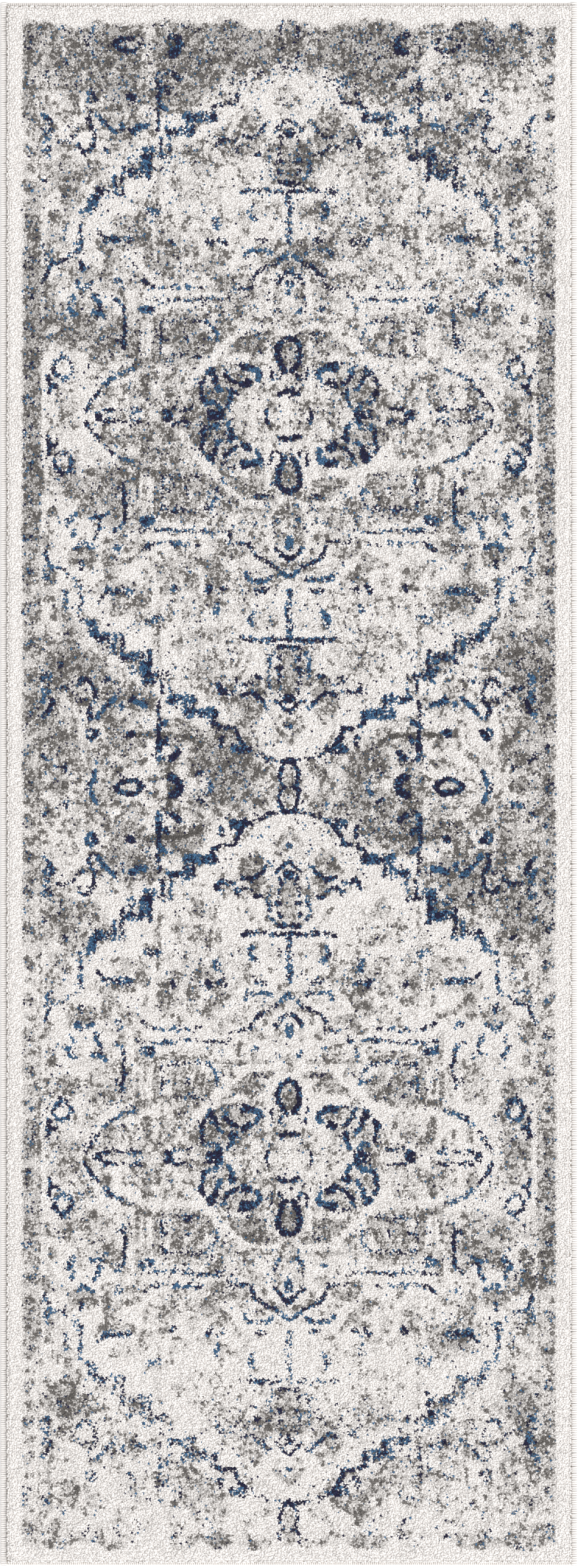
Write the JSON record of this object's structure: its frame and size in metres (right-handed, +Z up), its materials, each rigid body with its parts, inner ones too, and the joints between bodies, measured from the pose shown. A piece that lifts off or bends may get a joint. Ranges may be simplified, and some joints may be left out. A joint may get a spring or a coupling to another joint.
{
  "type": "runner rug",
  "caption": "Long narrow cut-pile rug with a faded medallion and border pattern, serged long sides and overlocked ends; lies flat on a floor.",
  "frame": {"origin": "middle of the underside, on the floor", "axes": "+X across the rug to its right side, +Y along it to the head end, +Z up out of the pile"},
  "size_m": [0.7874, 2.1336, 0.011],
  "materials": {
    "pile_ivory": "matte heat-set polypropylene cut pile, ivory",
    "pile_pale_grey": "matte cut pile, warm pale grey",
    "pile_charcoal": "matte cut pile, charcoal grey",
    "pile_blue": "matte cut pile, denim blue",
    "pile_navy": "matte cut pile, deep navy",
    "jute_weft": "raw jute yarn",
    "stuffer_cotton": "twisted cotton and polyester warp",
    "latex_size": "thin dried latex size over the woven back",
    "serging_yarn": "bulked ivory overcasting yarn",
    "selvedge_cord": "soft twisted filler cord",
    "sewing_thread": "smooth polyester thread",
    "overlock_yarn": "fine cream overlock yarn at the ends"
  },
  "bodies": {
    "root": {"pile_field": "pile_ivory", "upper_weft": "jute_weft", "stuffer_warp": "stuffer_cotton", "lower_weft": "jute_weft", "back_coating": "latex_size", "left_side_serging": "serging_yarn", "right_side_serging": "serging_yarn", "left_selvedge_cord": "selvedge_cord", "right_selvedge_cord": "selvedge_cord", "left_needle_thread": "sewing_thread", "right_needle_thread": "sewing_thread", "head_end_overlock": "overlock_yarn", "foot_end_overlock": "overlock_yarn", "head_header_roll": "jute_weft", "foot_header_roll": "jute_weft", "head_needle_thread": "sewing_thread", "foot_needle_thread": "sewing_thread"}
  },
  "joints": []
}
